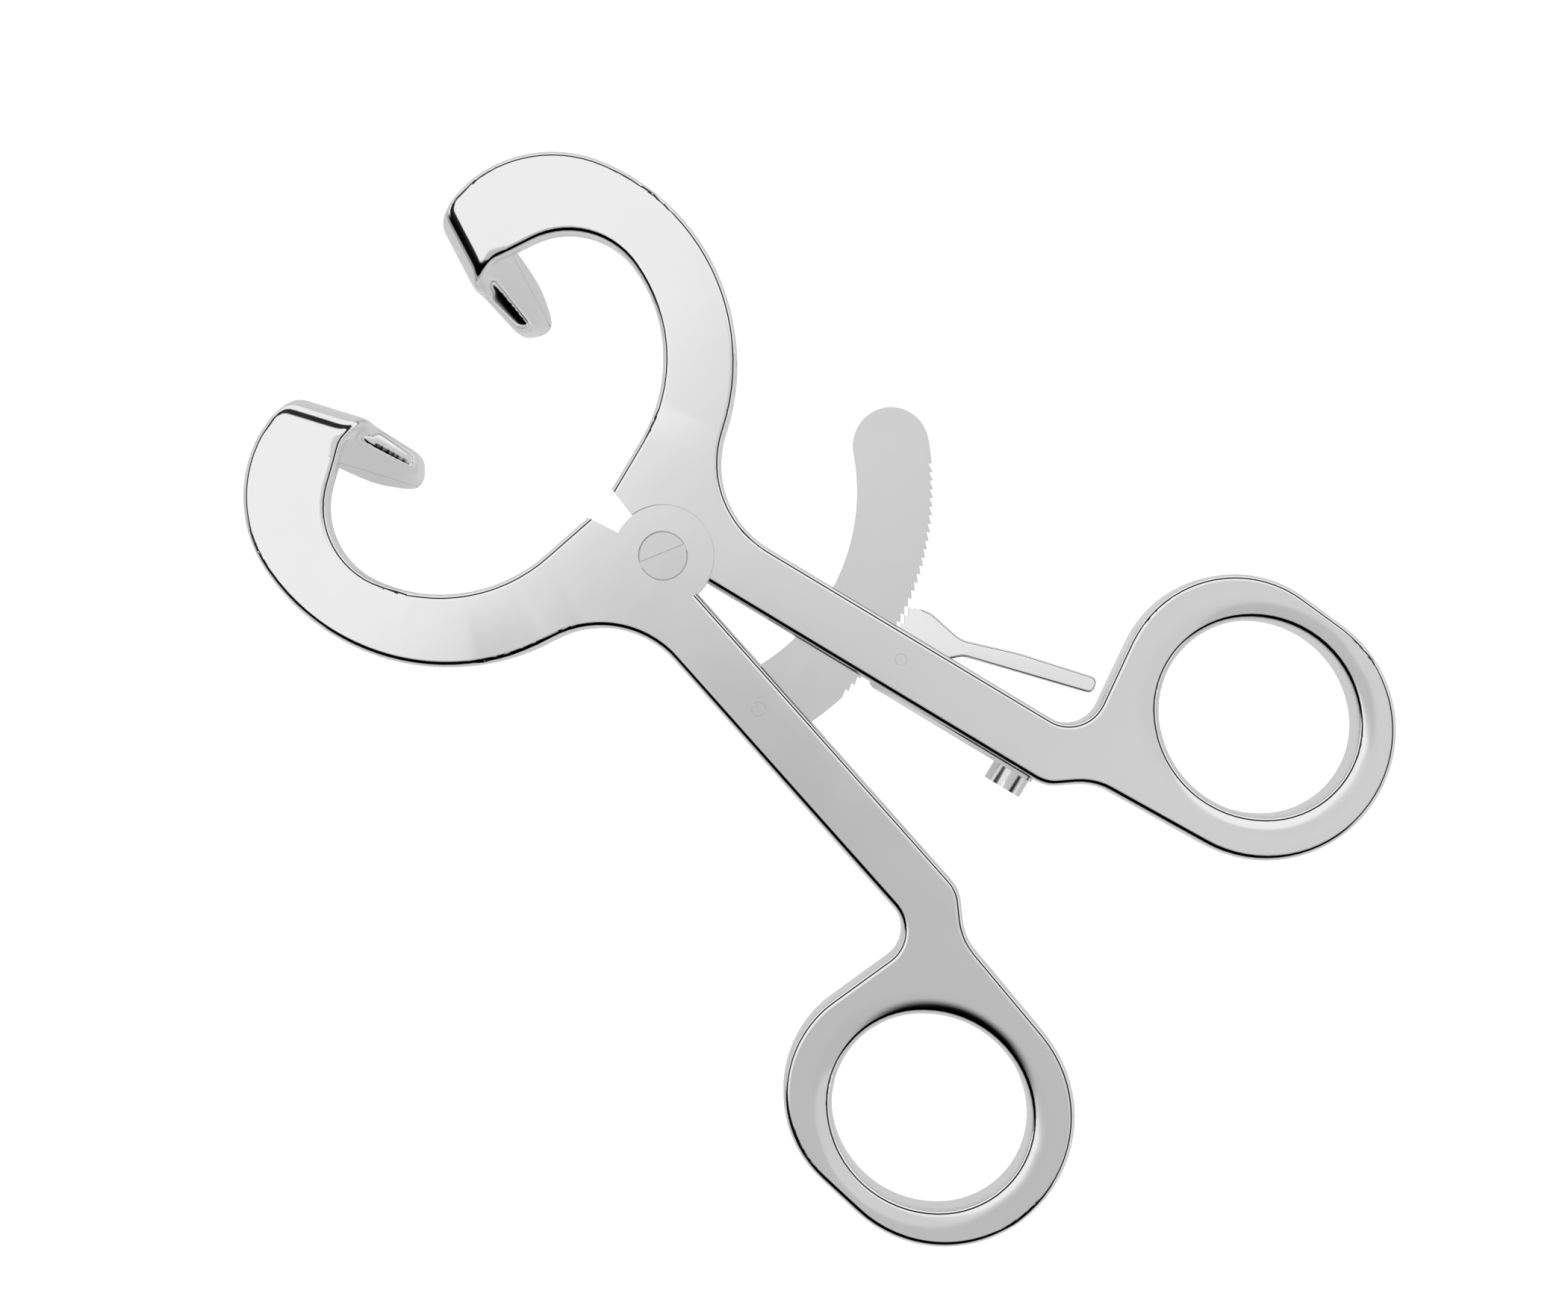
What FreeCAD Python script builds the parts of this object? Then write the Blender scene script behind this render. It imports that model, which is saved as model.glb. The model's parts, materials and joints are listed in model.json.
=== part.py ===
import FreeCAD, Part
import math
import os

# Mouth gag: two mirror-image arms on a lap joint, a toothed bar and a sprung release lever.
# Millimetres. Origin on the joint axis in the plane of the flat back, +Y to the jaws,
# +X to the arm that carries the release lever, +Z to the front.

V = FreeCAD.Vector
ORIGIN = V(0, 0, 0)
UP = V(0, 0, 1)

# Arms: rounded front rims and bevelled back rims, none more than a share of its wall
ARM_THICKNESS = 5.2
EDGE_ROUND = 0.9
EDGE_BEVEL = 0.5
LARGEST_ROUND_SHARE = 0.4
SHANK_WIDTH = 7.95
SHANK_SPLAY = 8.7
SHANK_INSET = 0.1
SHANK_LENGTH = 58.4
WAIST_ROUND = 12.8
WAIST_PLACE = 0.9

# Finger rings, set out from the end of the shank and its inner edge; each corner is how far
# it lies past the band in x and in y, and its radius
RING_DROP = 17.85
RING_OFFSET = 21.7
RING_HOLE_ACROSS = 24.3
RING_HOLE_ALONG = 26.2
RING_HOLE_END_RADIUS = 11.5
RING_SIDE_BAND = 3.9
RING_END_BAND = 5.6
RING_TOP_OUTER = (-1.3, 4.9, 15.0)
RING_LOW_OUTER = (1.1, 0.2, 16.7)
RING_LOW_INNER = (-1.5, -0.4, 16.6)
RING_NECK_INNER = (3.9, -7.8, 7.8)
NECK_OUTER_ROUND = 4.4
NECK_INNER_ROUND = 4.8
NECK_STAGGER = 1.0

# Jaws; each corner is x, y and radius, and the high ones are set out from the ends of the fold
JAW_ROOT = (-3.0, 9.8, 1.5)
JAW_INNER_LOW = (22.7, 13.8, 20.5)
JAW_INNER_HIGH = (13.54, -5.92, 10.3)
JAW_OUTER_HIGH = (12.2, -1.2, 17.0)
JAW_OUTER_LOW = (41.2, 13.4, 28.0)
JAW_TAPER_START = 12.0
JAW_TAPER_MARGIN = 1.6
JAW_TAPER_ROUND = 60.0
JAW_END_THICKNESS = 3.3

# Folds: the strip turns over on a line that lies oblique to it
FOLD_X = 18.8
FOLD_Y = 50.35
FOLD_ANGLE = 22.6
FOLD_WIDTH = 10.0
FOLD_RADIUS = 3.8
FOLD_SWEEP = 21.0
FOLD_EDGE_ROUND = 0.7

# Bite plates; each corner is its depth below the fold, its distance along the fold and its radius,
# counted from the far end of the fold for the far corners and from the near end for the near ones
PLATE_SPLAY = 20.0
PLATE_TIP_DEPTH = 16.5
PLATE_TIP_THICKNESS = 2.0
PLATE_FAR = (12.8, 3.8, 8.0)
PLATE_DEEP = (16.5, 12.2, 5.5)
PLATE_NEAR_TIP = (13.2, 9.0, 5.0)
PLATE_NEAR_HEEL = (5.2, 9.3, 4.0)

# Lap joint and its screw
EYE_RADIUS = 6.5
EYE_GAP = 0.15
LAP_GAP = 0.04
NOTCH_HALF_ANGLE = 12.6
SCREW_HEAD_RADIUS = 3.15
SCREW_HEAD_HEIGHT = 1.3
SCREW_HEAD_GAP = 0.06
SCREW_HEAD_CHAMFER = 0.15
SCREW_RADIUS = 2.0
SCREW_SLOT_WIDTH = 0.9
SCREW_SLOT_DEPTH = 0.7
SCREW_SLOT_ANGLE = -28.0

# Running clearance of a pin, and the gap round one that is fixed
PIN_CLEARANCE = 0.05
PIN_FIT = 0.02

# Ratchet bar; angles in degrees about the bar's centre
BAR_CENTRE_X = 5.62
BAR_CENTRE_Y = 6.5
BAR_TIP_RADIUS = 36.2
BAR_WIDTH = 9.8
BAR_THICKNESS = 2.0
BAR_END_ANGLE = -39.4
BAR_ROOT_ANGLE = -109.5
RIVET_ANGLE = -114.3
RIVET_RADIUS = 0.9
BAR_EYE_RADIUS = 2.6
TOOTH_DEPTH = 0.5
TOOTH_PITCH = 1.775
TOOTH_FIRST_ANGLE = -96.0
TOOTH_COUNT = 30

# Slots through the middle of the shanks: how far they run above the bar and below its teeth
SLOT_CLEARANCE = 0.15
BAR_SLOT_ABOVE = 3.5
BAR_SLOT_BELOW = 1.1
BAR_SLOT_FLOOR = 1.1
LEVER_SLOT_ABOVE = 2.9
LEVER_SLOT_BELOW = 11.0

# Release lever; each corner is x and y from its pin, and radius
LEVER_PIN_OUT = 2.475
LEVER_PIN_ANGLE = -84.54
LEVER_PIN_RADIUS = 0.75
NOSE_GAP = 0.1
NOSE_RELIEF = 0.8
NOSE_FIRST_TOOTH = 7
NOSE_TEETH = 5
LEVER_SHOULDER = (7.2, 0.9, 2.5)
LEVER_WAIST = (7.0, -4.4, 4.0)
LEVER_BELLY = (5.5, -6.0, 2.0)
LEVER_BASE = (2.2, -3.2, 2.5)

# Thumb bar, ending above the shank's end and out from its inner edge
THUMB_BACK = (10.45, -11.2, 30.0)
THUMB_END_MARGIN = 2.0
THUMB_END_OFFSET = 14.5
THUMB_END_WIDTH = 2.2
THUMB_END_ROUND = 0.9
THUMB_ANGLE = -70.0

# Heel of the lever, facing the curl of the leaf spring
HEEL_THICKNESS = 2.4
HEEL_INNER_LENGTH = 0.8
HEEL_OUTER_LENGTH = 1.5
HEEL_ANGLE = -45.0
HEEL_GAP = 0.05
HEEL_ROUND = 0.3

# Leaf spring and its screw: the foot ends above the shank's end, the curl above the lever's pin
SPRING_THICKNESS = 0.5
SPRING_FOOT_WIDTH = 4.4
SPRING_TIP_WIDTH = 1.8
SPRING_FOOT_MARGIN = 2.8
SPRING_FOOT_LENGTH = 8.7
SPRING_TIP_LENGTH = 2.85
SPRING_CURL_RISE = 1.04
SPRING_CURL_RADIUS = 0.95
SPRING_SCREW_INSET = 2.8
SPRING_HEAD_RADIUS = 2.6
SPRING_HEAD_HEIGHT = 2.4
SPRING_SCREW_RADIUS = 1.1
SPRING_SCREW_DEPTH = 4.6
SPRING_SLOT_WIDTH = 0.7
SPRING_SLOT_DEPTH = 0.8

MID = ARM_THICKNESS / 2
FAR = 200.0
NEAR = 0.5
SHORTEST_RIM = 0.05


def polar(centre, radius, angle):
    """Point at a radius and an angle in degrees about a centre."""
    turn = math.radians(angle)
    return V(centre.x + radius * math.cos(turn), centre.y + radius * math.sin(turn), 0)


BAR_CENTRE = V(BAR_CENTRE_X, BAR_CENTRE_Y, 0)
BAR_INNER_RADIUS = BAR_TIP_RADIUS - BAR_WIDTH
BAR_MID_RADIUS = BAR_TIP_RADIUS - BAR_WIDTH / 2
BAR_LOW = MID - BAR_THICKNESS / 2
BAR_HIGH = MID + BAR_THICKNESS / 2
BAR_REACH = BAR_TIP_RADIUS - BAR_CENTRE_Y
RIVET_CENTRE = polar(BAR_CENTRE, BAR_MID_RADIUS, RIVET_ANGLE)
LEVER_PIN = polar(BAR_CENTRE, BAR_TIP_RADIUS + LEVER_PIN_OUT, LEVER_PIN_ANGLE)
NOSE_INNER_ANGLE = TOOTH_FIRST_ANGLE + NOSE_FIRST_TOOTH * TOOTH_PITCH
NOSE_OUTER_ANGLE = NOSE_INNER_ANGLE + NOSE_TEETH * TOOTH_PITCH
DOWN_SHANK = polar(ORIGIN, 1.0, SHANK_SPLAY - 90)
ACROSS_SHANK = polar(ORIGIN, 1.0, SHANK_SPLAY)
FOLD_ALONG = polar(ORIGIN, 1.0, -90 - FOLD_ANGLE)
FOLD_OVER = polar(ORIGIN, 1.0, 180 - FOLD_ANGLE)
FOLD_OUTER = V(FOLD_X, FOLD_Y, 0)
FOLD_INNER = FOLD_OUTER + FOLD_ALONG * FOLD_WIDTH


def on_shank(along, across):
    """Point at a distance down the shank and a distance out from its inner edge."""
    return DOWN_SHANK * along + ACROSS_SHANK * (across - SHANK_INSET)


RING_CENTRE = on_shank(SHANK_LENGTH + RING_DROP, RING_OFFSET)
CURL_PLACE = LEVER_PIN.dot(DOWN_SHANK) - SPRING_CURL_RISE
SPRING_FOOT_END = SHANK_LENGTH - SPRING_FOOT_MARGIN
SPRING_SCREW_PLACE = SPRING_FOOT_END - SPRING_SCREW_INSET


def placed_on_shank(shape):
    """Shape drawn with x down the shank and y out from its inner edge, put in its place."""
    shape.rotate(ORIGIN, UP, SHANK_SPLAY - 90)
    shape.translate(on_shank(0, 0))
    return shape


def corner(point, radius=0.0):
    """Outline corner as x, y and radius."""
    return (point.x, point.y, radius)


def set_out(point, offsets):
    """Outline corner given as x and y from a point, and its radius."""
    return (point.x + offsets[0], point.y + offsets[1], offsets[2])


def rounded_wire(corners):
    """Closed wire of straight runs joined by tangent arcs, each no longer than its runs allow."""
    count = len(corners)
    points = [V(x, y, 0) for x, y, radius in corners]
    runs = [(points[(i + 1) % count] - points[i]).Length for i in range(count)]
    halves = []
    reaches = []
    for i in range(count):
        back = points[i - 1] - points[i]
        on = points[(i + 1) % count] - points[i]
        halves.append(back.getAngle(on) / 2)
        reaches.append(corners[i][2] / math.tan(halves[i]))
    shares = [min(1.0, runs[i] / max(reaches[i] + reaches[(i + 1) % count], 1e-6)) for i in range(count)]
    edges = []
    ends = []
    starts = []
    for i in range(count):
        back = (points[i - 1] - points[i]).normalize()
        on = (points[(i + 1) % count] - points[i]).normalize()
        reach = reaches[i] * min(shares[i - 1], shares[i])
        starts.append(points[i] + back * reach)
        ends.append(points[i] + on * reach)
    for i in range(count):
        if corners[i][2] > 0:
            inward = ((starts[i] + ends[i]) / 2 - points[i]).normalize()
            reach = (starts[i] - points[i]).Length
            depth = reach / math.cos(halves[i]) - reach * math.tan(halves[i])
            edges.append(Part.Arc(starts[i], points[i] + inward * depth, ends[i]).toShape())
        following = starts[(i + 1) % count]
        if ends[i].distanceToPoint(following) > 1e-4:
            edges.append(Part.makeLine(ends[i], following))
    return Part.Wire(edges)


def plate(corners, low, high):
    """Flat plate with a rounded outline, between two heights."""
    face = Part.Face(rounded_wire(corners))
    face.translate(UP * low)
    return face.extrude(UP * (high - low))


def upright(corners, low, high):
    """Plate whose outline is drawn in y and z, between two x values."""
    shape = plate(corners, low, high)
    shape.rotate(ORIGIN, V(1, 1, 1), 120)
    return shape


def disc(centre, radius, low, high):
    """Upright cylinder between two heights."""
    return Part.makeCylinder(radius, high - low, V(centre.x, centre.y, low), UP)


def rod(along, radius, inner, outer):
    """Cylinder across the shank, between two distances out from its inner edge."""
    shape = Part.makeCylinder(radius, outer - inner, V(along, inner, MID), V(0, 1, 0))
    return placed_on_shank(shape)


def mirrored(shape):
    """The same shape on the other arm."""
    return shape.mirror(ORIGIN, V(1, 0, 0))


def wall_rims(shape, plain_end):
    """Front and back rims of a plate's walls, apart from those of the wall at the plain end."""
    rims = {}
    for face in shape.Faces:
        u_low, u_high, v_low, v_high = face.ParameterRange
        normal = face.normalAt((u_low + u_high) / 2, (v_low + v_high) / 2)
        centre = V(face.CenterOfMass.x, face.CenterOfMass.y, 0)
        if abs(normal.z) > 0.5 or centre.distanceToPoint(plain_end) < NEAR:
            continue
        for edge in face.Edges:
            if edge.BoundBox.XLength + edge.BoundBox.YLength > SHORTEST_RIM:
                rims[edge.hashCode()] = edge
    return list(rims.values())


# Arms

def ring_corner(side, end, past):
    """Corner of the ring's outline, set out from the middle of the finger hole."""
    x = side * (RING_HOLE_ACROSS / 2 + RING_SIDE_BAND + past[0])
    y = end * (RING_HOLE_ALONG / 2 + RING_END_BAND + past[1])
    return set_out(RING_CENTRE, (x, y, past[2]))


def arm_outline():
    """Outline of the flat arm, round the jaw, down the shank, round the ring and back."""
    return [
        JAW_ROOT,
        JAW_INNER_LOW,
        set_out(FOLD_INNER, JAW_INNER_HIGH),
        corner(FOLD_INNER),
        corner(FOLD_OUTER),
        set_out(FOLD_OUTER, JAW_OUTER_HIGH),
        JAW_OUTER_LOW,
        corner(on_shank(WAIST_PLACE, SHANK_WIDTH), WAIST_ROUND),
        corner(on_shank(SHANK_LENGTH, SHANK_WIDTH), NECK_OUTER_ROUND),
        ring_corner(1, 1, RING_TOP_OUTER),
        ring_corner(1, -1, RING_LOW_OUTER),
        ring_corner(-1, -1, RING_LOW_INNER),
        ring_corner(-1, 1, RING_NECK_INNER),
        corner(on_shank(SHANK_LENGTH - NECK_STAGGER, 0), NECK_INNER_ROUND),
        corner(on_shank(0, 0)),
    ]


def thickness_profile():
    """Side view of the arm: a flat front, and a back that rises towards the fold."""
    rise = ARM_THICKNESS - JAW_END_THICKNESS
    return upright([
        (-FAR, 0.0, 0.0),
        (JAW_TAPER_START, 0.0, JAW_TAPER_ROUND),
        (FOLD_INNER.y - JAW_TAPER_MARGIN, rise, JAW_TAPER_ROUND),
        (FAR, rise, 0.0),
        (FAR, ARM_THICKNESS, 0.0),
        (-FAR, ARM_THICKNESS, 0.0),
    ], -FAR, FAR)


def finger_hole():
    """Oval hole of the ring, drawn with four tangent arcs."""
    along = RING_HOLE_ALONG / 2
    across = RING_HOLE_ACROSS / 2
    end = RING_HOLE_END_RADIUS
    side = ((along - end) ** 2 + across ** 2 - end ** 2) / (2 * (across - end))
    to_side = V(side - across, along - end, 0).normalize()
    joint = V(0, along - end, 0) + to_side * end
    joints = [V(x * joint.x, y * joint.y, 0) for x, y in ((1, 1), (-1, 1), (-1, -1), (1, -1))]
    crowns = [V(0, along, 0), V(-across, 0, 0), V(0, -along, 0), V(across, 0, 0)]
    arcs = [Part.Arc(joints[i], crowns[i], joints[(i + 1) % 4]).toShape() for i in range(4)]
    oval = Part.Face(Part.Wire(arcs))
    oval.translate(RING_CENTRE)
    return oval.extrude(UP * ARM_THICKNESS)


def flat_arm():
    """Jaw, shank and ring with eased rims, before the joint is cut."""
    body = plate(arm_outline(), 0, ARM_THICKNESS).common(thickness_profile())
    body = body.cut(finger_hole())
    largest = LARGEST_ROUND_SHARE * JAW_END_THICKNESS
    plain_end = (FOLD_OUTER + FOLD_INNER) / 2
    back = [edge for edge in wall_rims(body, plain_end) if edge.BoundBox.ZMin < MID]
    body = body.makeChamfer(min(EDGE_BEVEL, largest), back)
    front = [edge for edge in wall_rims(body, plain_end) if edge.BoundBox.ZMin > ARM_THICKNESS - SHORTEST_RIM]
    return body.makeFillet(min(EDGE_ROUND, largest), front)


def bite_plate():
    """Fold at the jaw's end and the swept plate behind it, drawn flat with the fold along y."""
    front = ARM_THICKNESS
    turn = 90 + PLATE_SPLAY
    drift = FOLD_RADIUS * math.tan(math.radians(FOLD_SWEEP))
    offset = drift * math.radians(turn)
    hinge = V(0, 0, front - FOLD_RADIUS)

    inside = FOLD_RADIUS - JAW_END_THICKNESS
    radius = min(FOLD_EDGE_ROUND, LARGEST_ROUND_SHARE * JAW_END_THICKNESS)
    section = rounded_wire([
        (inside, 0.0, radius),
        (FOLD_RADIUS, 0.0, radius),
        (FOLD_RADIUS, FOLD_WIDTH, radius),
        (inside, FOLD_WIDTH, radius),
    ])
    section.rotate(ORIGIN, V(1, 0, 0), 90)
    path = Part.Wire(Part.makeHelix(2 * math.pi * drift, offset, FOLD_RADIUS).Edges)
    fold = Part.Solid(path.makePipeShell([section], True, True))
    fold.rotate(ORIGIN, V(1, 1, 1), -120)
    fold.translate(hinge)

    tongue = plate([
        (0.0, offset, 0.0),
        PLATE_FAR,
        PLATE_DEEP,
        (PLATE_NEAR_TIP[0], FOLD_WIDTH + PLATE_NEAR_TIP[1], PLATE_NEAR_TIP[2]),
        (PLATE_NEAR_HEEL[0], FOLD_WIDTH + PLATE_NEAR_HEEL[1], PLATE_NEAR_HEEL[2]),
        (0.0, FOLD_WIDTH + offset, 0.0),
    ], 0, front)
    thinning = plate([
        (0.0, front - JAW_END_THICKNESS, 0.0),
        (PLATE_TIP_DEPTH, front - PLATE_TIP_THICKNESS, 0.0),
        (PLATE_TIP_DEPTH, front, 0.0),
        (0.0, front, 0.0),
    ], -FAR, FAR)
    thinning.rotate(ORIGIN, V(1, 0, 0), 90)
    tongue = tongue.common(thinning)
    rims = wall_rims(tongue, V(0, offset + FOLD_WIDTH / 2, 0))
    tongue = tongue.makeFillet(min(EDGE_ROUND, LARGEST_ROUND_SHARE * PLATE_TIP_THICKNESS), rims)
    tongue.rotate(hinge, V(0, 1, 0), turn)

    piece = fold.fuse(tongue)
    piece.rotate(ORIGIN, UP, 180 - FOLD_ANGLE)
    piece.translate(FOLD_OUTER)
    return piece


def beyond_joint():
    """Everything on the other arm's side of the notch face and the centre plane."""
    return plate([
        (0.0, 0.0, 0.0),
        corner(polar(ORIGIN, FAR, 90 - NOTCH_HALF_ANGLE)),
        (-FAR, FAR, 0.0),
        (-FAR, -FAR, 0.0),
        (0.0, -FAR, 0.0),
    ], -FAR, FAR)


def lapped_arm(eye_low, eye_high, recess_low, recess_high):
    """Whole arm with its half-thickness eye, and a recess for the eye of the other arm."""
    body = flat_arm().fuse(bite_plate()).removeSplitter()
    body = body.cut(beyond_joint())
    body = body.cut(disc(ORIGIN, EYE_RADIUS + EYE_GAP, recess_low, recess_high))
    return body.fuse(disc(ORIGIN, EYE_RADIUS, eye_low, eye_high)).removeSplitter()


def shank_slot(above, below, inner, outer):
    """Slot through the middle of a shank, from above the bar to below its teeth."""
    start = BAR_REACH - BAR_WIDTH - above
    end = BAR_REACH + below
    corners = [(start, inner, 0.0), (end, inner, 0.0), (end, outer, 0.0), (start, outer, 0.0)]
    return placed_on_shank(plate(corners, BAR_LOW - SLOT_CLEARANCE, BAR_HIGH + SLOT_CLEARANCE))


def pawl_arm():
    """Arm with the back eye, the open slot and the holes of the pin and the screws."""
    face = MID - LAP_GAP / 2
    body = lapped_arm(0, face, face, FAR)
    return body.cut([
        disc(ORIGIN, SCREW_RADIUS + PIN_FIT, 0, ARM_THICKNESS),
        shank_slot(LEVER_SLOT_ABOVE, LEVER_SLOT_BELOW, -SHANK_WIDTH, 2 * SHANK_WIDTH),
        disc(LEVER_PIN, LEVER_PIN_RADIUS + PIN_FIT, 0, ARM_THICKNESS),
        rod(SPRING_SCREW_PLACE, SPRING_SCREW_RADIUS + PIN_FIT, 0, SPRING_SCREW_DEPTH + PIN_FIT),
    ])


def rack_arm():
    """Arm with the front eye, the seat of the screw head and the bar's closed slot."""
    face = MID + LAP_GAP / 2
    seat = ARM_THICKNESS - SCREW_HEAD_HEIGHT - SCREW_HEAD_GAP
    rivet = V(-RIVET_CENTRE.x, RIVET_CENTRE.y, 0)
    body = lapped_arm(face, ARM_THICKNESS, -FAR, face)
    return mirrored(body.cut([
        disc(ORIGIN, SCREW_RADIUS + PIN_CLEARANCE, 0, ARM_THICKNESS),
        disc(ORIGIN, SCREW_HEAD_RADIUS + SCREW_HEAD_GAP, seat, FAR),
        shank_slot(BAR_SLOT_ABOVE, BAR_SLOT_BELOW, -SHANK_WIDTH, SHANK_WIDTH - BAR_SLOT_FLOOR),
        disc(rivet, RIVET_RADIUS + PIN_FIT, 0, ARM_THICKNESS),
    ]))


# Joint screw

def joint_screw():
    """Flush slotted screw: head in the front eye, shank in the back eye."""
    under = ARM_THICKNESS - SCREW_HEAD_HEIGHT
    head = disc(ORIGIN, SCREW_HEAD_RADIUS, under, ARM_THICKNESS)
    rim = [edge for edge in head.Edges if edge.BoundBox.ZMin > under + 0.01]
    head = head.makeChamfer(SCREW_HEAD_CHAMFER, rim)
    slot = Part.makeBox(2 * FAR, SCREW_SLOT_WIDTH, FAR)
    slot.translate(V(-FAR, -SCREW_SLOT_WIDTH / 2, ARM_THICKNESS - SCREW_SLOT_DEPTH))
    slot.rotate(ORIGIN, UP, SCREW_SLOT_ANGLE)
    return head.fuse(disc(ORIGIN, SCREW_RADIUS, 0, under)).cut(slot)


# Ratchet bar

def bar_arc(radius, start, end):
    """Arc edge about the bar's centre, from one angle to another."""
    middle = polar(BAR_CENTRE, radius, (start + end) / 2)
    return Part.Arc(polar(BAR_CENTRE, radius, start), middle, polar(BAR_CENTRE, radius, end)).toShape()


def bar_plate(edges):
    """Plate of the bar's thickness in the middle of the arms."""
    face = Part.Face(Part.Wire(edges))
    face.translate(UP * BAR_LOW)
    return face.extrude(UP * BAR_THICKNESS)


def tooth_gap(tip_angle, tip_radius):
    """Gap below one tooth: a long slope to the root, and a radial face up to the next tip."""
    gap = Part.makePolygon([
        polar(BAR_CENTRE, tip_radius, tip_angle - TOOTH_PITCH),
        polar(BAR_CENTRE, tip_radius - TOOTH_DEPTH, tip_angle),
        polar(BAR_CENTRE, tip_radius + TOOTH_DEPTH, tip_angle),
        polar(BAR_CENTRE, tip_radius + TOOTH_DEPTH, tip_angle - TOOTH_PITCH),
        polar(BAR_CENTRE, tip_radius, tip_angle - TOOTH_PITCH),
    ])
    return bar_plate(gap.Edges)


def ratchet_bar():
    """Curved bar with a round free end, a toothed outer edge and a riveted eye."""
    end_centre = polar(BAR_CENTRE, BAR_MID_RADIUS, BAR_END_ANGLE)
    outer_end = polar(BAR_CENTRE, BAR_TIP_RADIUS, BAR_END_ANGLE)
    inner_end = polar(BAR_CENTRE, BAR_INNER_RADIUS, BAR_END_ANGLE)
    outer_root = polar(BAR_CENTRE, BAR_TIP_RADIUS, BAR_ROOT_ANGLE)
    inner_root = polar(BAR_CENTRE, BAR_INNER_RADIUS, BAR_ROOT_ANGLE)
    round_end = Part.Arc(outer_end, polar(end_centre, BAR_WIDTH / 2, BAR_END_ANGLE + 90), inner_end)
    band = bar_plate([
        bar_arc(BAR_TIP_RADIUS, BAR_ROOT_ANGLE, BAR_END_ANGLE),
        round_end.toShape(),
        bar_arc(BAR_INNER_RADIUS, BAR_END_ANGLE, BAR_ROOT_ANGLE),
        Part.makeLine(inner_root, outer_root),
    ])
    eye_side = polar(ORIGIN, BAR_EYE_RADIUS, RIVET_ANGLE)
    root = Part.makePolygon([
        inner_root,
        outer_root,
        RIVET_CENTRE + eye_side,
        RIVET_CENTRE - eye_side,
        inner_root,
    ])
    eye = disc(RIVET_CENTRE, BAR_EYE_RADIUS, BAR_LOW, BAR_HIGH)
    body = band.fuse([bar_plate(root.Edges), eye]).removeSplitter()
    cuts = [disc(RIVET_CENTRE, RIVET_RADIUS + PIN_CLEARANCE, BAR_LOW, BAR_HIGH)]
    for i in range(TOOTH_COUNT):
        cuts.append(tooth_gap(TOOTH_FIRST_ANGLE + i * TOOTH_PITCH, BAR_TIP_RADIUS))
    return body.cut(cuts)


def bar_rivet():
    """Rivet of the bar, through the rack arm and ground flush."""
    return disc(RIVET_CENTRE, RIVET_RADIUS, 0, ARM_THICKNESS)


# Release lever

def lever_blank():
    """Head, heel and thumb bar of the lever, before the nose is cut."""
    curl = on_shank(CURL_PLACE, SPRING_CURL_RADIUS - SPRING_THICKNESS)
    heel_out = polar(ORIGIN, 1.0, HEEL_ANGLE)
    heel_way = polar(ORIGIN, 1.0, HEEL_ANGLE - 90)
    touch = curl + heel_out * (SPRING_CURL_RADIUS + HEEL_GAP)
    thumb = on_shank(SHANK_LENGTH - THUMB_END_MARGIN, THUMB_END_OFFSET)
    thumb_side = polar(ORIGIN, THUMB_END_WIDTH / 2, THUMB_ANGLE + 90)
    return plate([
        corner(polar(BAR_CENTRE, BAR_TIP_RADIUS - TOOTH_DEPTH, NOSE_OUTER_ANGLE)),
        set_out(LEVER_PIN, LEVER_SHOULDER),
        set_out(LEVER_PIN, LEVER_WAIST),
        set_out(LEVER_PIN, THUMB_BACK),
        corner(thumb + thumb_side, THUMB_END_ROUND),
        corner(thumb - thumb_side, THUMB_END_ROUND),
        set_out(LEVER_PIN, LEVER_BELLY),
        set_out(LEVER_PIN, LEVER_BASE),
        corner(touch + heel_way * HEEL_INNER_LENGTH + heel_out * HEEL_THICKNESS, HEEL_THICKNESS / 2),
        corner(touch + heel_way * HEEL_INNER_LENGTH, HEEL_ROUND),
        corner(touch - heel_way * HEEL_OUTER_LENGTH, HEEL_ROUND),
        corner(polar(BAR_CENTRE, BAR_TIP_RADIUS - TOOTH_DEPTH, NOSE_INNER_ANGLE)),
    ], BAR_LOW, BAR_HIGH)


def nose_gullet(tip_angle):
    """Gap above one nose tooth, with the slope and the radial face of the bar's teeth."""
    tip_radius = BAR_TIP_RADIUS + NOSE_GAP
    gullet = Part.makePolygon([
        BAR_CENTRE,
        polar(BAR_CENTRE, tip_radius, tip_angle),
        polar(BAR_CENTRE, tip_radius + TOOTH_DEPTH, tip_angle - TOOTH_PITCH),
        BAR_CENTRE,
    ])
    return bar_plate(gullet.Edges)


def release_lever():
    """Lever with a toothed nose that follows the bar, free of it elsewhere."""
    relief = disc(BAR_CENTRE, BAR_TIP_RADIUS + NOSE_RELIEF, BAR_LOW, BAR_HIGH)
    nose_sides = [
        polar(BAR_CENTRE, FAR, NOSE_INNER_ANGLE),
        polar(BAR_CENTRE, FAR, NOSE_OUTER_ANGLE),
    ]
    nose_sector = bar_plate(Part.makePolygon([BAR_CENTRE] + nose_sides + [BAR_CENTRE]).Edges)
    cuts = [
        relief.cut(nose_sector),
        disc(LEVER_PIN, LEVER_PIN_RADIUS + PIN_CLEARANCE, BAR_LOW, BAR_HIGH),
    ]
    for i in range(NOSE_TEETH):
        cuts.append(nose_gullet(NOSE_INNER_ANGLE + (i + 1) * TOOTH_PITCH))
    return lever_blank().cut(cuts)


def lever_pin():
    """Pin of the lever, through the pawl arm and ground flush."""
    return disc(LEVER_PIN, LEVER_PIN_RADIUS, 0, ARM_THICKNESS)


# Leaf spring and its screw

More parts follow.
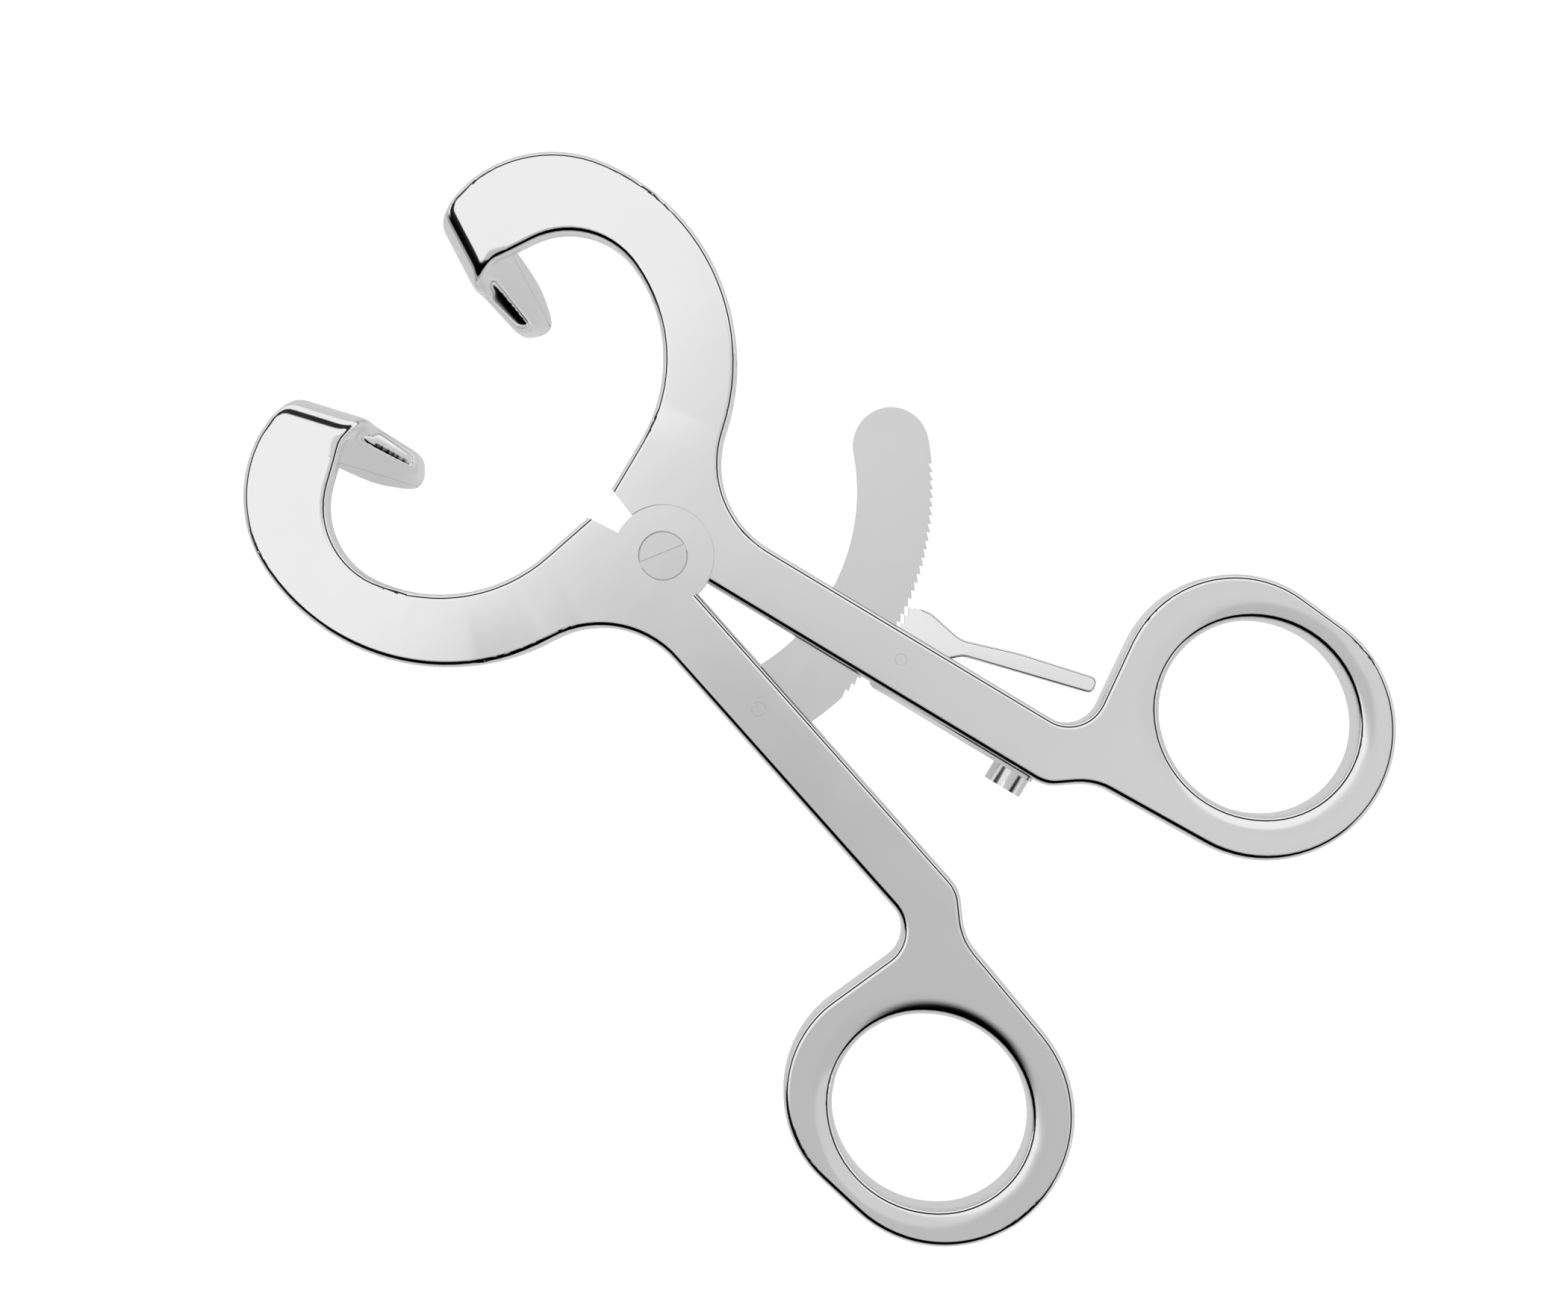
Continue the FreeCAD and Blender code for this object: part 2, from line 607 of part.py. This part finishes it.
def leaf_spring():
    """Strip on the pawl arm's inner edge, narrowed to a curl that presses the lever's heel."""
    centre = V(CURL_PLACE, SPRING_CURL_RADIUS - SPRING_THICKNESS, 0)
    length = SPRING_FOOT_END - CURL_PLACE
    strip = Part.makeBox(length, SPRING_THICKNESS, ARM_THICKNESS)
    strip.translate(V(CURL_PLACE, -SPRING_THICKNESS, 0))
    curl = disc(centre, SPRING_CURL_RADIUS, 0, ARM_THICKNESS)
    curl = curl.cut(disc(centre, SPRING_CURL_RADIUS - SPRING_THICKNESS, 0, ARM_THICKNESS))
    mouth = Part.makeBox(SPRING_CURL_RADIUS, SPRING_CURL_RADIUS, ARM_THICKNESS)
    mouth.translate(centre - V(0, SPRING_CURL_RADIUS, 0))
    curl = curl.cut(mouth)
    foot = SPRING_FOOT_WIDTH / 2
    tip = SPRING_TIP_WIDTH / 2
    narrow_end = CURL_PLACE + SPRING_TIP_LENGTH
    wide_end = SPRING_FOOT_END - SPRING_FOOT_LENGTH
    width = plate([
        (CURL_PLACE - FAR, -tip, 0.0),
        (narrow_end, -tip, 0.0),
        (wide_end, -foot, 0.0),
        (SPRING_FOOT_END, -foot, foot / 2),
        (SPRING_FOOT_END, foot, foot / 2),
        (wide_end, foot, 0.0),
        (narrow_end, tip, 0.0),
        (CURL_PLACE - FAR, tip, 0.0),
    ], -FAR, FAR)
    width.rotate(ORIGIN, V(1, 0, 0), 90)
    width.translate(UP * MID)
    spring = placed_on_shank(strip.fuse(curl).common(width).removeSplitter())
    hole = rod(SPRING_SCREW_PLACE, SPRING_SCREW_RADIUS + PIN_FIT, -SPRING_THICKNESS, 0)
    return spring.cut(hole)


def spring_screw():
    """Cheese-head screw that holds the spring's foot on the pawl arm."""
    outside = -SPRING_THICKNESS - SPRING_HEAD_HEIGHT
    head = rod(SPRING_SCREW_PLACE, SPRING_HEAD_RADIUS, outside, -SPRING_THICKNESS)
    shank = rod(SPRING_SCREW_PLACE, SPRING_SCREW_RADIUS, -SPRING_THICKNESS, SPRING_SCREW_DEPTH)
    slot = Part.makeBox(SPRING_SLOT_WIDTH, SPRING_SLOT_DEPTH, 2 * FAR)
    slot.translate(V(SPRING_SCREW_PLACE - SPRING_SLOT_WIDTH / 2, outside, -FAR))
    return head.fuse(shank).cut(placed_on_shank(slot))


os.makedirs("parts", exist_ok=True)
pieces = {
    "rack_arm": rack_arm(),
    "pawl_arm": pawl_arm(),
    "joint_screw": joint_screw(),
    "ratchet_bar": ratchet_bar(),
    "bar_rivet": bar_rivet(),
    "release_lever": release_lever(),
    "lever_pin": lever_pin(),
    "leaf_spring": leaf_spring(),
    "spring_screw": spring_screw(),
}
for name, shape in pieces.items():
    box = shape.BoundBox
    print(name, shape.isValid(), len(shape.Solids), round(shape.Volume, 2), box)
    shape.exportStep("parts/" + name + ".step")
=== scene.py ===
import bpy
import json
import math
from mathutils import Matrix, Vector


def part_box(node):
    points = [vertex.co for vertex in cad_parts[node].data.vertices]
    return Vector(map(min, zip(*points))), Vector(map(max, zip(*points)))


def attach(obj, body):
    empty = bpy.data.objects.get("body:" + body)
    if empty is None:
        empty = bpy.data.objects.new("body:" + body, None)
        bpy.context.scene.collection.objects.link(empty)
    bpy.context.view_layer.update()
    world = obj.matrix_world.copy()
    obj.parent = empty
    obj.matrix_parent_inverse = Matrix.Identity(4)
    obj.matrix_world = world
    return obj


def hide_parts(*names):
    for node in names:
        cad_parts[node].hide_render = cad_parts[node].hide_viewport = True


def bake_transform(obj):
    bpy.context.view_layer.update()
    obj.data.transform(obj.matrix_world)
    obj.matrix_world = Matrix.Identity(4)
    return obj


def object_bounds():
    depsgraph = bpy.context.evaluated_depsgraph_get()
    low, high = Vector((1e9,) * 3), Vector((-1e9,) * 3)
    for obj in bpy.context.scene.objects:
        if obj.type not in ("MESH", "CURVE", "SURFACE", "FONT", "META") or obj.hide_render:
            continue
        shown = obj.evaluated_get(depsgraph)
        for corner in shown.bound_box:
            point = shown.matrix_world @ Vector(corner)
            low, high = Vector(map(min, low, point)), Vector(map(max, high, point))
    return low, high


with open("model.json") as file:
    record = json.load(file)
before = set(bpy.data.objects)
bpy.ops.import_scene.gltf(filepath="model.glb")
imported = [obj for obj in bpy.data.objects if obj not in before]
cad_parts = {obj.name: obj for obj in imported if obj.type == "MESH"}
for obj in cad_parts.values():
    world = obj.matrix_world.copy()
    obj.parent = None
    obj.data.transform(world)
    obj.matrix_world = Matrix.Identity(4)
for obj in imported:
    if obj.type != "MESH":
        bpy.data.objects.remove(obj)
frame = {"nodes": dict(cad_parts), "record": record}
cad_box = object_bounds()

MM = 0.001

# Smoothing of the solids
MERGE_DISTANCE = 0.002 * MM
SMOOTH_ANGLE = 32.0

# Finish of the steel, in millimetres; roughness runs between two shares of its value
HAZE_SIZE = 9.0
HAZE_ROUGHNESS = (0.8, 1.3)
WAVE_SIZE = 7.0
WAVE_HEIGHT = 0.012
GRAIN_ALONG = 0.06
GRAIN_HEIGHT = 0.01

# Finger holes, in millimetres from the joint, and the roll of the face into them
HOLE_CENTRE = (32.885, -72.105)
HOLE_RADII = (12.15, 13.1)
ROLL_WIDTH = 5.0
ROLL_DEPTH = 0.52
ROLL_CURVE = 3.0

# Folds of the jaws: place in millimetres and angle in degrees
FOLD_CORNER = (18.8, 50.35)
FOLD_ANGLE = 22.6

# Rounded end of a jaw, in millimetres over the fold and along it. Where it meets the arm it
# reaches in a little way and lies a little lower, so that only one of the two faces shows.
ROUNDED_FROM = -2.5
ROUNDED_REACH = 1.2
ROUNDED_ALONG = (-4.0, 24.0)
ROUNDED_MESH = 0.16
ROUNDED_STEPS = 110
ROUNDED_FADE = 2.0
ROUNDED_LEAST = 0.15
SUNK_DEPTH = 0.02
SUNK_FADE = 0.4

# Lever, in millimetres and degrees; the rims behind or beyond the nose are rounded
LEVER_RIM = 0.35
LEVER_RIM_STEPS = 4
LEVER_FLAT_ANGLE = 0.5
LEVER_NOSE_BACK = -35.2
LEVER_NOSE_TIP = 16.0
LEVER_SLANT = 5.5
LEVER_SLANT_TO = (0.77, 0.64, 0.0)

# White table: its size in metres, and its glow to the camera and in the steel
TABLE_SIZE = 6.0
TABLE_COLOUR = "#f4f4f4"
TABLE_SEEN = 0.85
TABLE_REFLECTED = 0.30

# Light tent: grey levels by how far a direction leans one way, from -1 to 1
TENT_OVERHEAD = [
    (-0.30, 0.70), (-0.17, 0.73), (-0.03, 0.71), (0.05, 0.76), (0.15, 1.0), (0.40, 1.0)]
TENT_RACK_SIDE = [(-0.03, 0.80), (0.03, 1.0)]
TENT_RACK_SIDE_END = [(-0.02, 0.0), (0.15, 1.0)]
TENT_BRIGHT_DIRECTION = (0.77, 0.64, 0.0)
TENT_BRIGHT = [(0.05, 0.0), (0.22, 1.0)]
TENT_DARK_DIRECTION = (-0.92, -0.39, 0.0)
TENT_DARK_SIDE = [(0.30, 1.0), (0.46, 0.0)]
TENT_SIDES = [(-0.80, 0.42), (-0.30, 0.70), (0.20, 1.0)]
TENT_ROOF_START = [(0.15, 0.0), (0.25, 1.0)]
TENT_GAP = [(0.38, 1.0), (0.44, 0.02), (0.72, 0.02), (0.78, 1.0)]

# Camera, square to the front face, with the photograph's roll
FRONT_FACE = 5.2 * MM
CAMERA_X = 0.24 * MM
CAMERA_Y = -20.0 * MM
CAMERA_HEIGHT = 300.0 * MM
FRAME_WIDTH = 201.2 * MM
JAW_DIRECTION_IN_PHOTO = 140.25
SENSOR_WIDTH = 36.0
NEAREST_SEEN = 0.01


# Nodes

def linear(hex_colour):
    """Linear colour of an sRGB hex value."""
    channels = [int(hex_colour[i:i + 2], 16) / 255 for i in (1, 3, 5)]
    return [c / 12.92 if c <= 0.04045 else ((c + 0.055) / 1.055) ** 2.4 for c in channels] + [1.0]


def add_node(tree, kind, settings=None, links=None):
    """Adds a node with its settings, and with links from (node, output) to its inputs."""
    node = tree.nodes.new(kind)
    for name, value in (settings or {}).items():
        if isinstance(name, int) or name in node.inputs:
            node.inputs[name].default_value = value
        else:
            setattr(node, name, value)
    for name, (source, output) in (links or {}).items():
        tree.links.new(source.outputs[output], node.inputs[name])
    return node


def maths(tree, operation, settings, links):
    """Number node."""
    return add_node(tree, "ShaderNodeMath", {"operation": operation, **settings}, links)


def vector_maths(tree, operation, settings, source, output):
    """Vector node on one linked vector."""
    settings = {"operation": operation, **settings}
    return add_node(tree, "ShaderNodeVectorMath", settings, {0: (source, output)})


def noise(tree, size_mm, detail, source, output):
    """Noise with features of a size in millimetres."""
    settings = {"Scale": 1 / (size_mm * MM), "Detail": detail}
    return add_node(tree, "ShaderNodeTexNoise", settings, {"Vector": (source, output)})


def bump(tree, strength, distance, links):
    """Bump from a height."""
    return add_node(tree, "ShaderNodeBump", {"Strength": strength, "Distance": distance}, links)


def ramp(tree, stops, source, output):
    """Colour ramp with stops of place and grey value."""
    node = add_node(tree, "ShaderNodeValToRGB", None, {"Fac": (source, output)})
    node.color_ramp.interpolation = "EASE"
    elements = node.color_ramp.elements
    while len(elements) < len(stops):
        elements.new(0.5)
    for element, (place, value) in zip(elements, stops):
        element.position = place
        element.color = (value, value, value, 1.0)
    return node


def new_material(name):
    """Empty node material, its tree and its output node."""
    material = bpy.data.materials.new(name)
    material.use_nodes = True
    material.node_tree.nodes.clear()
    output = add_node(material.node_tree, "ShaderNodeOutputMaterial")
    return material, material.node_tree, output


# Materials

def steel(name, colour, roughness, grain_mm, grain_bump):
    """Stainless steel with faint haze, a slightly wavy face and fine buffing marks.

    Returns the material, and its tree, coordinates and wave for a finish to build on.
    """
    material, tree, output = new_material(name)
    place = add_node(tree, "ShaderNodeTexCoord")
    haze = noise(tree, HAZE_SIZE, 3.0, place, "Object")
    smoothest, dullest = (roughness * share for share in HAZE_ROUGHNESS)
    rough = ramp(tree, [(0.35, smoothest), (0.65, dullest)], haze, "Fac")
    wave = noise(tree, WAVE_SIZE, 1.0, place, "Object")
    wavy = bump(tree, 1.0, WAVE_HEIGHT * MM, {"Height": (wave, "Fac")})
    stretched = add_node(
        tree, "ShaderNodeMapping", {"Scale": (1.0, GRAIN_ALONG, 1.0)}, {"Vector": (place, "Object")})
    grain = noise(tree, grain_mm, 4.0, stretched, "Vector")
    buffed = bump(
        tree, grain_bump, GRAIN_HEIGHT * MM, {"Height": (grain, "Fac"), "Normal": (wavy, "Normal")})
    shader = add_node(
        tree, "ShaderNodeBsdfPrincipled", {"Base Color": linear(colour), "Metallic": 1.0},
        {"Roughness": (rough, "Color"), "Normal": (buffed, "Normal")})
    tree.links.new(shader.outputs["BSDF"], output.inputs["Surface"])
    return material, tree, place, wavy


def shape_face(tree, wavy, height, output):
    """Lets the face follow a height in metres, under the wave and the buffing marks."""
    shaped = bump(tree, 1.0, 1.0, {"Height": (height, output)})
    tree.links.new(shaped.outputs["Normal"], wavy.inputs["Normal"])


def polished_arm_steel():
    """Mirror-polished stainless steel: the buff leaves it bright and slightly wavy.

    The face rolls softly into each finger hole, by the distance from the hole's edge.
    """
    material, tree, place, wavy = steel("polished_stainless_steel", "#ededee", 0.09, 0.25, 0.05)
    parts = add_node(tree, "ShaderNodeSeparateXYZ", None, {"Vector": (place, "Object")})
    across = maths(tree, "ABSOLUTE", {}, {0: (parts, "X")})
    spot = add_node(
        tree, "ShaderNodeCombineXYZ", None, {"X": (across, "Value"), "Y": (parts, "Y")})
    centre = (HOLE_CENTRE[0] * MM, HOLE_CENTRE[1] * MM, 0.0)
    radii = (HOLE_RADII[0] * MM, HOLE_RADII[1] * MM, 1.0)
    centred = vector_maths(tree, "SUBTRACT", {1: centre}, spot, "Vector")
    scaled = vector_maths(tree, "DIVIDE", {1: radii}, centred, "Vector")
    radius = vector_maths(tree, "LENGTH", {}, scaled, "Vector")
    slope = sum(HOLE_RADII) / 2 / ROLL_WIDTH
    nearness = maths(
        tree, "MULTIPLY_ADD", {"use_clamp": True, 1: -slope, 2: 1.0 + slope},
        {0: (radius, "Value")})
    drop = maths(tree, "POWER", {1: ROLL_CURVE}, {0: (nearness, "Value")})
    depth = maths(tree, "MULTIPLY", {1: -ROLL_DEPTH * MM}, {0: (drop, "Value")})
    shape_face(tree, wavy, depth, "Value")
    return material


def polished_lever_steel():
    """Polished stainless steel: the face is ground a few degrees off the arms' plane.

    So it catches more light than they do.
    """
    material, tree, place, wavy = steel("polished_lever_steel", "#efeff0", 0.12, 0.2, 0.07)
    fall = -math.tan(math.radians(LEVER_SLANT))
    slope = tuple(fall * c for c in LEVER_SLANT_TO)
    height = vector_maths(tree, "DOT_PRODUCT", {1: slope}, place, "Object")
    shape_face(tree, wavy, height, "Value")
    return material


arm_steel = polished_arm_steel()
# Surface grinding leaves the bar a little duller, with a fine grain
bar_steel = steel("ground_stainless_steel", "#e9e9ea", 0.16, 0.18, 0.10)[0]
# Rolling leaves the strip the greyest and the most softly shining
spring_steel = steel("rolled_spring_steel", "#dededf", 0.18, 0.15, 0.12)[0]
# Turning leaves the screws' faces with a close, faint grain
screw_steel = steel("turned_stainless_steel", "#e4e4e5", 0.16, 0.15, 0.10)[0]
FINISHES = {
    "rack_arm": arm_steel,
    "pawl_arm": arm_steel,
    "bar_rivet": arm_steel,
    "lever_pin": arm_steel,
    "ratchet_bar": bar_steel,
    "release_lever": polished_lever_steel(),
    "leaf_spring": spring_steel,
    "joint_screw": screw_steel,
    "spring_screw": screw_steel,
}


# Pieces

def copy_of_node(name):
    """Active, selected copy of a solid's mesh with its points merged."""
    bpy.ops.object.select_all(action="DESELECT")
    mesh = frame["nodes"][name].data.copy()
    mesh.name = name + "_polished"
    piece = bpy.data.objects.new(name + "_polished", mesh)
    bpy.context.scene.collection.objects.link(piece)
    bpy.context.view_layer.objects.active = piece
    piece.select_set(True)
    bpy.ops.mesh.customdata_custom_splitnormals_clear()
    bpy.ops.object.mode_set(mode="EDIT")
    bpy.ops.mesh.select_all(action="SELECT")
    bpy.ops.mesh.remove_doubles(threshold=MERGE_DISTANCE)
    bpy.ops.object.mode_set(mode="OBJECT")
    return piece


def apply_modifier(piece, kind, settings):
    """Adds a modifier and applies it."""
    modifier = piece.modifiers.new(kind.lower(), kind)
    for key, value in settings.items():
        setattr(modifier, key, value)
    bpy.ops.object.modifier_apply(modifier=modifier.name)


def add_group(piece, name, weight_at):
    """Vertex group with weights from each vertex, held between 0 and 1."""
    group = piece.vertex_groups.new(name=name)
    for vertex in piece.data.vertices:
        group.add([vertex.index], min(max(weight_at(vertex.co), 0.0), 1.0), "REPLACE")


def finish_piece(piece, name, material):
    """Smooth rims, flat faces and the finish."""
    bpy.ops.object.shade_smooth_by_angle(angle=math.radians(SMOOTH_ANGLE))
    apply_modifier(piece, "WEIGHTED_NORMAL", {"keep_sharp": True})
    piece.data.materials.clear()
    piece.data.materials.append(material)
    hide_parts(name)


def fold_place(side):
    """Corner of a jaw's fold, the direction over the fold and the one along it."""
    turn = math.radians(FOLD_ANGLE)
    corner = Vector((side * FOLD_CORNER[0], FOLD_CORNER[1], 0.0)) * MM
    over = Vector((-side * math.cos(turn), math.sin(turn), 0.0))
    along = Vector((-side * math.sin(turn), -math.cos(turn), 0.0))
    return corner, over, along


def select_jaw_end(mesh, side):
    """Selects the faces that reach past the start of the rounded end."""
    corner, over, along = fold_place(side)
    past = []
    for vertex in mesh.vertices:
        offset = (vertex.co - corner) / MM
        past.append(
            offset.dot(over) > ROUNDED_FROM - ROUNDED_REACH
            and ROUNDED_ALONG[0] < offset.dot(along) < ROUNDED_ALONG[1])
    bpy.context.tool_settings.mesh_select_mode = (False, False, True)
    for group in (mesh.vertices, mesh.edges, mesh.polygons):
        for element in group:
            element.select = False
    for face in mesh.polygons:
        face.select = any(past[v] for v in face.vertices)


def cut(corner, over, distance, **side):
    """Cuts the selected faces square to the fold, in object mode, and closes the cut."""
    bpy.ops.mesh.bisect(
        plane_co=corner + over * distance * MM, plane_no=over, use_fill=True, **side)
    bpy.ops.object.mode_set(mode="OBJECT")


def round_jaw_end(piece, side):
    """Cuts off the jaw's folded end and puts back one with a fine mesh and soft rims."""
    corner, over, along = fold_place(side)
    bpy.ops.object.duplicate()
    end = bpy.context.view_layer.objects.active
    select_jaw_end(end.data, side)
    bpy.ops.object.mode_set(mode="EDIT")
    bpy.ops.mesh.select_all(action="INVERT")
    bpy.ops.mesh.delete(type="FACE")
    bpy.ops.mesh.select_all(action="SELECT")
    cut(corner, over, ROUNDED_FROM - ROUNDED_REACH, clear_inner=True)
    apply_modifier(
        end, "REMESH", {"mode": "VOXEL", "voxel_size": ROUNDED_MESH * MM, "use_smooth_shade": True})

    def past_start(co):
        return (co - corner).dot(over) / MM - ROUNDED_FROM

    add_group(end, "rounded", lambda co: max(past_start(co) / ROUNDED_FADE, ROUNDED_LEAST))
    apply_modifier(
        end, "SMOOTH", {"factor": 0.5, "iterations": ROUNDED_STEPS, "vertex_group": "rounded"})
    add_group(end, "sunk", lambda co: 0.5 - past_start(co) / SUNK_FADE)
    apply_modifier(
        end, "DISPLACE", {"strength": -SUNK_DEPTH * MM, "mid_level": 0.0, "vertex_group": "sunk"})
    end.vertex_groups.clear()

    bpy.ops.object.select_all(action="DESELECT")
    bpy.context.view_layer.objects.active = piece
    piece.select_set(True)
    select_jaw_end(piece.data, side)
    bpy.ops.object.mode_set(mode="EDIT")
    cut(corner, over, ROUNDED_FROM, clear_outer=True)
    end.select_set(True)
    bpy.ops.object.join()


def round_lever_rims(piece):
    """Rounds the rims of the thumb bar and the head, and leaves the nose's teeth crisp."""
    bpy.ops.object.mode_set(mode="EDIT")
    bpy.ops.mesh.select_all(action="SELECT")
    bpy.ops.mesh.dissolve_limited(angle_limit=math.radians(LEVER_FLAT_ANGLE))
    bpy.ops.mesh.select_all(action="DESELECT")
    bpy.ops.object.mode_set(mode="OBJECT")
    mesh = piece.data
    faces = [corner.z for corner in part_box("release_lever")]
    bpy.context.tool_settings.mesh_select_mode = (False, True, False)
    for edge in mesh.edges:
        ends = [mesh.vertices[v].co for v in edge.vertices]
        on_rim = any(all(abs(co.z - z) < MERGE_DISTANCE for co in ends) for z in faces)
        off_nose = all(co.y < LEVER_NOSE_BACK * MM or co.x > LEVER_NOSE_TIP * MM for co in ends)
        edge.select = on_rim and off_nose
    bpy.ops.object.mode_set(mode="EDIT")
    bpy.ops.mesh.bevel(offset=LEVER_RIM * MM, segments=LEVER_RIM_STEPS)
    bpy.ops.object.mode_set(mode="OBJECT")


SIDES = {"rack_arm": -1, "pawl_arm": 1}
for body, members in frame["record"]["behaviour"]["bodies"].items():
    for member in members:
        piece = copy_of_node(member)
        if member in SIDES:
            round_jaw_end(piece, SIDES[member])
        if member == "release_lever":
            round_lever_rims(piece)
        finish_piece(piece, member, FINISHES[member])
        if member == "leaf_spring":
            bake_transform(piece)
        else:
            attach(piece, body)


# Floor, light and camera

def white_floor():
    """Matt white table that keeps the object's shadow.

    The camera and the steel see it as white, and it is clear from below.
    """
    bpy.ops.object.select_all(action="DESELECT")
    bpy.ops.mesh.primitive_plane_add(size=TABLE_SIZE, location=(0, 0, cad_box[0].z))
    floor = bpy.context.object
    floor.name = "white_table"
    material, tree, output = new_material("matt_white_laminate")
    matt = add_node(tree, "ShaderNodeBsdfDiffuse", {"Color": linear(TABLE_COLOUR)})
    path = add_node(tree, "ShaderNodeLightPath")
    seen = maths(tree, "MULTIPLY", {1: TABLE_SEEN}, {0: (path, "Is Camera Ray")})
    glow = maths(
        tree, "MULTIPLY_ADD", {1: TABLE_REFLECTED},
        {0: (path, "Is Glossy Ray"), 2: (seen, "Value")})
    light = add_node(
        tree, "ShaderNodeEmission", {"Color": (1, 1, 1, 1)}, {"Strength": (glow, "Value")})
    white = add_node(
        tree, "ShaderNodeAddShader", None, {0: (matt, "BSDF"), 1: (light, "Emission")})
    clear = add_node(tree, "ShaderNodeBsdfTransparent")
    side = add_node(tree, "ShaderNodeNewGeometry")
    table = add_node(
        tree, "ShaderNodeMixShader", None,
        {0: (side, "Backfacing"), 1: (white, "Shader"), 2: (clear, "BSDF")})
    tree.links.new(table.outputs["Shader"], output.inputs["Surface"])
    floor.data.materials.append(material)


def level(tree, place, direction, stops):
    """Grey level by how far a ray leans in a direction, with the stops from -1 to 1."""
    lean = vector_maths(tree, "DOT_PRODUCT", {1: direction}, place, "Generated")
    share = maths(tree, "MULTIPLY_ADD", {1: 0.5, 2: 0.5}, {0: (lean, "Value")})
    return ramp(tree, [((at + 1) / 2, value) for at, value in stops], share, "Value")


def blended(tree, kind, links):
    """Grey levels put together in one of the mixing ways; an input without a link is white."""
    white = (1.0, 1.0, 1.0, 1.0)
    return add_node(
        tree, "ShaderNodeMixRGB", {"blend_type": kind, "Fac": 1.0, "Color1": white, "Color2": white},
        {name: (node, "Color") for name, node in links.items()})


def studio_world():
    """Light tent: pale overhead, a dark gap round its rim, white sides and one dark side."""
    world = bpy.data.worlds.new("light_tent")
    bpy.context.scene.world = world
    world.use_nodes = True
    tree = world.node_tree
    tree.nodes.clear()
    place = add_node(tree, "ShaderNodeTexCoord")
    across = (1.0, 0.0, 0.0)
    along = (0.0, 1.0, 0.0)
    up = (0.0, 0.0, 1.0)
    rack_side = blended(tree, "MIX", {
        "Fac": level(tree, place, along, TENT_RACK_SIDE_END),
        "Color1": level(tree, place, across, TENT_RACK_SIDE)})
    overhead = blended(tree, "MULTIPLY", {
        "Color1": level(tree, place, along, TENT_OVERHEAD), "Color2": rack_side})
    bright = blended(tree, "LIGHTEN", {
        "Color1": overhead, "Color2": level(tree, place, TENT_BRIGHT_DIRECTION, TENT_BRIGHT)})
    roof = blended(tree, "MULTIPLY", {
        "Color1": bright, "Color2": level(tree, place, TENT_DARK_DIRECTION, TENT_DARK_SIDE)})
    shell = blended(tree, "MIX", {
        "Fac": level(tree, place, up, TENT_ROOF_START),
        "Color1": level(tree, place, across, TENT_SIDES),
        "Color2": roof})
    lit = blended(tree, "MULTIPLY", {
        "Color1": shell, "Color2": level(tree, place, up, TENT_GAP)})
    background = add_node(
        tree, "ShaderNodeBackground", {"Strength": 1.0}, {"Color": (lit, "Color")})
    output = add_node(tree, "ShaderNodeOutputWorld")
    tree.links.new(background.outputs["Background"], output.inputs["Surface"])


def photo_camera():
    """Camera over the symmetry line, turned so that the jaws point as in the photograph."""
    data = bpy.data.cameras.new("photo_camera")
    data.sensor_width = SENSOR_WIDTH
    data.lens = SENSOR_WIDTH * CAMERA_HEIGHT / FRAME_WIDTH
    data.clip_start = NEAREST_SEEN
    camera = bpy.data.objects.new("photo_camera", data)
    bpy.context.scene.collection.objects.link(camera)
    place = Matrix.Translation((CAMERA_X, CAMERA_Y, FRONT_FACE + CAMERA_HEIGHT))
    roll = Matrix.Rotation(math.radians(90 - JAW_DIRECTION_IN_PHOTO), 4, "Z")
    camera.matrix_world = place @ roll
    bpy.context.scene.camera = camera


white_floor()
studio_world()
photo_camera()
bpy.context.scene.view_settings.view_transform = "Standard"
